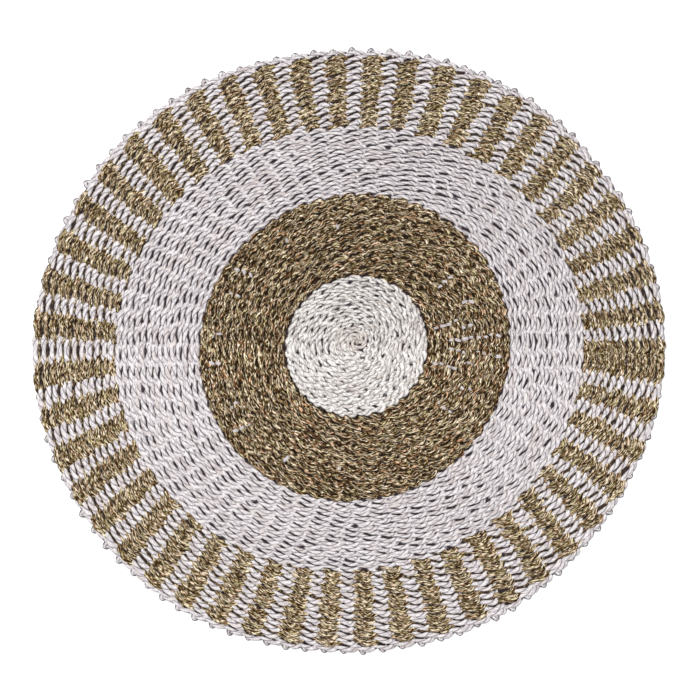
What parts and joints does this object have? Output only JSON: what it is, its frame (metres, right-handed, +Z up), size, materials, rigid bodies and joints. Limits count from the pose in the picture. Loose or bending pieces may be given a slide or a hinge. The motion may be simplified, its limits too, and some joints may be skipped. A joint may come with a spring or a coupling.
{
  "type": "round seagrass rug",
  "caption": "Round flat rug of twined seagrass cord with white and natural rings, a radially striped border and a looped white edge.",
  "frame": {"origin": "on the floor under the middle of the rug's length and width", "axes": "+X along the widest way across, +Z up through the thickness, underside on the floor plane"},
  "size_m": [1.1992, 1.1352, 0.012],
  "materials": {
    "natural_cord": "undyed twisted seagrass cord, matt with dry highlights",
    "white_cord": "white painted seagrass cord, matt"
  },
  "bodies": {
    "root": {"rug_body": "natural_cord", "edge_binding": "white_cord"}
  },
  "joints": []
}
